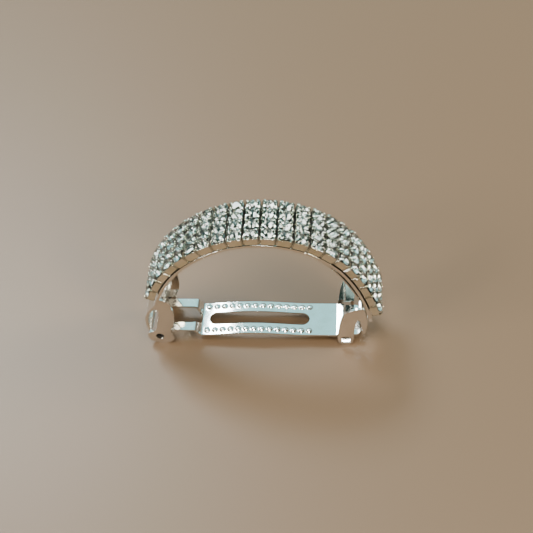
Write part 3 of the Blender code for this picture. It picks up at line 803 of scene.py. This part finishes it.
def clasp_wall_outline():
    """Side view of a clasp wall: a long leg with the hook, a notch and a short limb."""
    beside_plate = [(*arch_point(station, PLATE_INSIDE + CHEEK_GAP), 0) for station in CHEEK_STATIONS]
    long_leg = [
        (18.5, 11.45, 1), (16.75, 10.2, 1), (15.85, 8.0, 1), (15.4, 4.8, 1), (15.2, 2.1, 1),
        (15.65, 0.5, 1), (16.9, 0.0, 1), (18.0, 0.6, 1), (18.45, 2.0, 1), (18.6, 4.4, 1), (18.8, 6.8, 1),
    ]
    notch = [(19.35, 8.2, 1), (19.95, 7.0, 1), (20.15, 4.4, 1), (20.3, 3.7, 1)]
    limb_end = [(20.8, 4.1, 1)]
    return smooth_outline(beside_plate + long_leg + notch + limb_end)


def clasp_hook(side):
    """The tab lanced out of a clasp wall: a shelf that rises inwards from the window's foot to a lip."""
    root = WALL_OUTER_Y - HOOK_RECESS
    bm = bmesh.new()
    previous = None
    for inwards, up, inset in HOOK_SECTION:
        y = side * (root - (root - HOOK_LIP_Y) * inwards)
        z = HOOK_FOOT + (HOOK_CREST - HOOK_FOOT) * up
        start, end = HOOK_START + HOOK_SIDE_GAP + inset, HOOK_END - HOOK_SIDE_GAP - inset
        here = [bm.verts.new((x, y, z)) for x in spread(start, end, 7)]
        if previous:
            for a, b, c, d in zip(previous, previous[1:], here[1:], here):
                bm.faces.new((a, b, c, d) if side < 0 else (d, c, b, a))
        previous = here
    return mesh_of("clasp_hook", bm)


def hook_window():
    """The rounded window that the hook is lanced out of."""
    radius = HOOK_WINDOW_CORNER
    left, right = HOOK_START + radius, HOOK_END - radius
    low, high = HOOK_FOOT + radius, HOOK_WINDOW_TOP - radius
    corners = ((left, low, 180), (right, low, 270), (right, high, 0), (left, high, 90))
    return [point for x, z, turn in corners for point in arc((x, z), (radius, radius), turn, turn + 90, 6)]


def clasp_wall(word, side, finish):
    """A wall of the clasp with its window, and the hook pressed inwards from it."""
    body = f"clasp_{word}"
    replaced = [f"clasp_{word}_wall"]
    outlines = [clasp_wall_outline(), hook_window()]
    mesh = stamped_wall("clasp_cheek", outlines, side * (WALL_OUTER_Y - WALL_THICKNESS / 2))
    wall = metal_piece(f"clasp_cheek_{word}", mesh, body, "silver_plate", replaced, finish)
    rounded_edges(wall, CHEEK_ROUNDING, 3)
    hook = metal_piece(f"clasp_hook_{word}", clasp_hook(side), body, "silver_plate", replaced, finish)
    thickened(hook, HOOK_THICKNESS, -1.0)
    rounded_edges(hook, HOOK_ROUNDING)


def clasp_web(finish):
    """The strip of the clasp that the rivet holds against the plate."""
    half = WALL_OUTER_Y - WALL_THICKNESS - WEB_SIDE_GAP
    columns = columns_of(spread(*WEB_STATIONS, 24), cosine_spaced(RIVET_STATION, RIVET_HOLE_RADIUS, 8))
    mesh = cut_sheet("clasp_bridge", columns, along_arch(lambda s: WEB_DEPTH), lambda s: half, rivet_hole, 6)
    web = metal_piece("clasp_bridge", mesh, "base", "silver_plate", ["clasp_web"], finish)
    thickened(web, WALL_THICKNESS, -1.0)
    rounded_edges(web, EDGE_ROUNDING)


def clasp_rivet(finish):
    """An eyelet from the top of the plate to below the web, with a crowned head at each end."""
    outer = -(PLATE_DEPTH - RIVET_OUTER_SINK)
    inner = -(WEB_DEPTH + WALL_THICKNESS + RIVET_INNER_GAP)
    bore, head, crown = RIVET_BORE_RADIUS, RIVET_HEAD_RADIUS, RIVET_HEAD_CROWN
    top, bottom = outer + RIVET_HEAD_HEIGHT, inner - RIVET_HEAD_HEIGHT
    profile = [
        (bore, top - crown), (bore + crown, top), (head - RIVET_HEAD_SLOPE, top), (head, outer + crown),
        (head, outer), (RIVET_RADIUS, outer), (RIVET_RADIUS, inner), (head, inner), (head, inner - crown),
        (head - RIVET_HEAD_SLOPE, bottom), (bore + crown, bottom), (bore, bottom + crown),
    ]
    mesh = turned("clasp_eyelet", profile, seat_frame(RIVET_STATION, 0.0))
    metal_piece("clasp_eyelet", mesh, "base", "silver_plate", ["clasp_rivet"], finish)


# ---------------------------------------------------------------- cup chains

def box(bm, low, high):
    size = [b - a for a, b in zip(low, high)]
    middle = [(a + b) / 2 for a, b in zip(low, high)]
    place = Matrix.Translation(middle) @ Matrix.Diagonal((*size, 1.0))
    bmesh.ops.create_cube(bm, size=1.0, matrix=place)


def claw(bm, end, side):
    """A claw at one corner of a cup: up the end wall beside the corner, then bent over the stone."""
    places = [Vector((end * x, side * y, z)) for x, y, z, half, turned_in in CLAW]
    rings = []
    for i, (x, y, z, half, turned_in) in enumerate(CLAW):
        along = (places[min(i + 1, len(CLAW) - 1)] - places[max(i - 1, 0)]).normalized()
        across = Vector((-end * turned_in, side, 0.0)).normalized()
        out = across.cross(along).normalized() * end * side
        rings.append([
            bm.verts.new(places[i] + across * half * a + out * CLAW_THICKNESS * b)
            for a, b in ((-1, 0), (1, 0), (1, 1), (-1, 1))
        ])
    join_rings(bm, rings)
    bm.faces.new(rings[0][::-1])
    bm.faces.new(rings[-1])


def cup_mesh(skirt):
    """One claw cup: a square box open at the top that reaches down by a skirt, with a claw at each corner.

    Its outer sides, its rims and its claws are in the first finish, the plated metal. The rest (inside,
    floor, end walls, skirt) is in the second, a near-black painted shade for the shadow between cups.
    """
    bm = bmesh.new()
    length = CUP_HALF_LENGTH
    width = CUP_HALF_WIDTH
    inner = width - CUP_WALL - HAIRLINE
    end_top = CUP_WALL_HEIGHT - END_WALL_DROP
    box(bm, (-length, -inner, -skirt), (length, inner, CUP_FLOOR))
    for side in (-1, 1):
        y0, y1 = sorted((side * (width - CUP_WALL), side * width))
        box(bm, (-length, y0, -skirt), (length, y1, CUP_WALL_HEIGHT))
        x0, x1 = sorted((side * (length - CUP_WALL), side * (length - HAIRLINE)))
        box(bm, (x0, -inner + HAIRLINE, CUP_FLOOR - END_WALL_OVERLAP), (x1, inner - HAIRLINE, end_top))
    bmesh.ops.recalc_face_normals(bm, faces=bm.faces)
    # Faces other than the outer sides and rims get the near-black painted shade.
    for face in bm.faces:
        middle = face.calc_center_median()
        outside_painted_shade = abs(middle.y) > width - FACE_TOLERANCE or middle.z > end_top - FACE_TOLERANCE
        face.material_index = 0 if outside_painted_shade else 1
    for end in (-1, 1):
        for side in (-1, 1):
            claw(bm, end, side)
    bmesh.ops.recalc_face_normals(bm, faces=bm.faces)
    return mesh_of("cup", bm)


def link_mesh():
    """The strip that joins two cups, all in the second finish, the near-black painted shade, so the gaps
    between cups look shaded.
    """
    bm = bmesh.new()
    low, high = LINK_HEIGHTS
    box(bm, (-LINK_HALF_LENGTH, -LINK_HALF_WIDTH, low), (LINK_HALF_LENGTH, LINK_HALF_WIDTH, high))
    for face in bm.faces:
        face.material_index = 1
    return mesh_of("link", bm)


def cup_station(cup):
    """Station of a cup's middle."""
    return CHAIN_START + (cup + 0.5) * CUP_PITCH


def cup_chain(row, y, plain_cup, skirted_cup, link, finishes):
    bm = bmesh.new()
    for index in range(CUPS_PER_ROW):
        add_mesh(bm, skirted_cup if index in SKIRTED_CUPS else plain_cup, seat_frame(cup_station(index), y))
    for index in range(CUPS_PER_ROW - 1):
        add_mesh(bm, link, seat_frame(cup_station(index + 0.5), y))
    name = f"cup_chain_{row + 1}"
    mesh = mesh_of("cup_chain", bm)
    chain = metal_piece(name, mesh, "base", "cup_metal", [f"cup_row_{row + 1}"], *finishes)
    rounded_edges(chain, CUP_ROUNDING, 1, 35)


# ---------------------------------------------------------------- stones

def stone_mesh(clear, foil):
    """A round stone, in metres: table, bezel and girdle facets in clear glass over a foiled pavilion."""
    bm = bmesh.new()
    low, high = GIRDLE
    for (radius, height), count, shift in (
        (TABLE, STONE_SIDES, 0.0), (BEZEL, STONE_SIDES, 0.5), ((GIRDLE_RADIUS, high), 2 * STONE_SIDES, 0.0),
        ((GIRDLE_RADIUS, low), 2 * STONE_SIDES, 0.0), (CULET, STONE_SIDES, 0.0),
    ):
        for i in range(count):
            angle = 2 * math.pi * (i + shift) / count
            bm.verts.new((radius * math.cos(angle), radius * math.sin(angle), height))
    bmesh.ops.convex_hull(bm, input=bm.verts)
    bmesh.ops.dissolve_limit(bm, angle_limit=math.radians(0.5), verts=bm.verts, edges=bm.edges)
    bmesh.ops.recalc_face_normals(bm, faces=bm.faces)
    bm.normal_update()
    for face in bm.faces:
        face.material_index = 1 if face.normal.z < FOIL_FACING else 0
    mesh = mesh_of("stone", bm)
    mesh.transform(Matrix.Scale(MM, 4))
    mesh.materials.append(clear)
    mesh.materials.append(foil)
    return mesh


def stones(row, y, stone, draw):
    """One stone in each cup of a row, each turned and leaning a little differently about its girdle."""
    for index in range(CUPS_PER_ROW):
        spin = Matrix.Rotation(draw.uniform(0, math.pi / 4), 4, "Z")
        lean = Matrix.Rotation(math.radians(draw.uniform(-STONE_TILT, STONE_TILT)), 4, "X")
        tip = Matrix.Rotation(math.radians(draw.uniform(-STONE_TILT, STONE_TILT)), 4, "Y")
        pivot = Matrix.Translation((0.0, 0.0, GIRDLE[0]))
        place = seat_frame(cup_station(index), y) @ pivot @ lean @ tip @ pivot.inverted() @ spin
        place.translation = place.translation * MM
        name = f"crystal_{row + 1}_{index + 1:02d}"
        add_piece(name, stone, place, "base", [f"crystal_row_{row + 1}"])


# ---------------------------------------------------------------- floor, light and camera

def floor():
    """A plain table: a warm tan body under a faint satin surface."""
    made, shader = shader_material("pale_floor", FLOOR_COLOUR, 0.0, FLOOR_ROUGHNESS)
    shader.inputs["IOR"].default_value = FLOOR_IOR
    bm = bmesh.new()
    bmesh.ops.create_grid(bm, x_segments=1, y_segments=1, size=FLOOR_REACH)
    mesh = mesh_of("floor", bm)
    mesh.materials.append(made)
    obj = bpy.data.objects.new("floor", mesh)
    bpy.context.scene.collection.objects.link(obj)


def soft_box(name, azimuth, elevation, distance, size, power, colour):
    """A rectangular light aimed at the clip. Azimuth 0 is behind the clip (+Y) and 90 to its right (+X)."""
    data = bpy.data.lights.new(name, "AREA")
    data.shape = "RECTANGLE"
    data.size, data.size_y = size
    data.energy = power
    data.color = colour
    light = bpy.data.objects.new(name, data)
    a, e = math.radians(azimuth), math.radians(elevation)
    away = Vector((math.sin(a) * math.cos(e), math.cos(a) * math.cos(e), math.sin(e)))
    light.location = Vector(LIGHT_TARGET) * MM + away * distance
    light.rotation_mode = "QUATERNION"
    light.rotation_quaternion = away.to_track_quat("Z", "Y")
    bpy.context.scene.collection.objects.link(light)


def world():
    """A room with a glowing part of the sky behind the clip and a dark round patch on the viewer's side."""
    made = bpy.data.worlds.new("soft_room")
    made.use_nodes = True
    tree = made.node_tree
    link = tree.links.new
    where = node(tree, "ShaderNodeTexCoord").outputs["Generated"]

    def nearness(direction):
        towards = node(tree, "ShaderNodeVectorMath", operation="DOT_PRODUCT")
        towards.inputs[1].default_value = direction
        link(where, towards.inputs[0])
        return towards.outputs["Value"]

    sky = node(tree, "ShaderNodeValToRGB")
    stops = sky.color_ramp.elements
    stops[0].position, stops[0].color = SKY[0]
    stops[1].position, stops[1].color = SKY[-1]
    for position, colour in SKY[1:-1]:
        stops.new(position).color = colour
    link(nearness(GLOW), sky.inputs["Fac"])
    darkened = node(tree, "ShaderNodeMix", data_type="RGBA")
    darkened.inputs["B"].default_value = DARK_PATCH_COLOUR
    link(remapped(tree, nearness(DARK_PATCH), DARK_PATCH_EDGE, (0.0, 1.0)), darkened.inputs["Factor"])
    link(sky.outputs["Color"], darkened.inputs["A"])
    background = tree.nodes["Background"]
    background.inputs["Strength"].default_value = ROOM_STRENGTH
    link(darkened.outputs["Result"], background.inputs["Color"])
    bpy.context.scene.world = made


def camera():
    data = bpy.data.cameras.new("camera")
    data.lens = CAMERA_LENS
    data.clip_start = 0.01
    obj = bpy.data.objects.new("camera", data)
    obj.location = Vector(CAMERA_PLACE) * MM
    obj.rotation_euler = [math.radians(angle) for angle in CAMERA_TURN]
    bpy.context.scene.collection.objects.link(obj)
    bpy.context.scene.camera = obj


# ---------------------------------------------------------------- assembly

silver = metal("silver_plate_finish", (0.90, 0.89, 0.86), (0.78, 0.76, 0.70), 0.09)
steel = metal("spring_steel_finish", (0.80, 0.80, 0.77), (0.68, 0.67, 0.62), 0.14, 0.05)
claws = metal("cup_metal_finish", (0.92, 0.92, 0.82), (0.66, 0.66, 0.50), 0.13)
# Near-black painted shade for the cups' insides, floors, end walls and links, standing in for the shadow
# between the stones.
painted_cup_shade = metal("cup_painted_shadow", (0.045, 0.050, 0.044), (0.025, 0.028, 0.022), 0.4)
# Near-black painted shade for the hinge tube's bore and ends.
tube_shade = metal("tube_painted_shade", (0.035, 0.03, 0.025), (0.02, 0.018, 0.015), 0.55)
clear = glass("crystal_clear")
foil = metal("crystal_foil", (0.93, 0.94, 0.92), (0.85, 0.88, 0.86), 0.03, 0.005)

camera()
world()
for soft_box_facts in SOFT_BOXES:
    soft_box(*soft_box_facts)
floor()
base_plate(silver)
hinge_ear("front", -1, silver)
hinge_ear("rear", 1, silver)
hinge_pin(silver, tube_shade)
arm(silver)
tension_spring(steel)
clasp_web(silver)
clasp_wall("front", -1, silver)
clasp_wall("rear", 1, silver)
clasp_rivet(silver)
plain_cup = cup_mesh(0.0)
skirted_cup = cup_mesh(CUP_SKIRT)
link_strip = link_mesh()
one_stone = stone_mesh(clear, foil)
stone_draw = random.Random(8)
for row_index in range(ROWS):
    row_y = (row_index - (ROWS - 1) / 2) * ROW_PITCH
    cup_chain(row_index, row_y, plain_cup, skirted_cup, link_strip, (claws, painted_cup_shade))
    stones(row_index, row_y, one_stone, stone_draw)
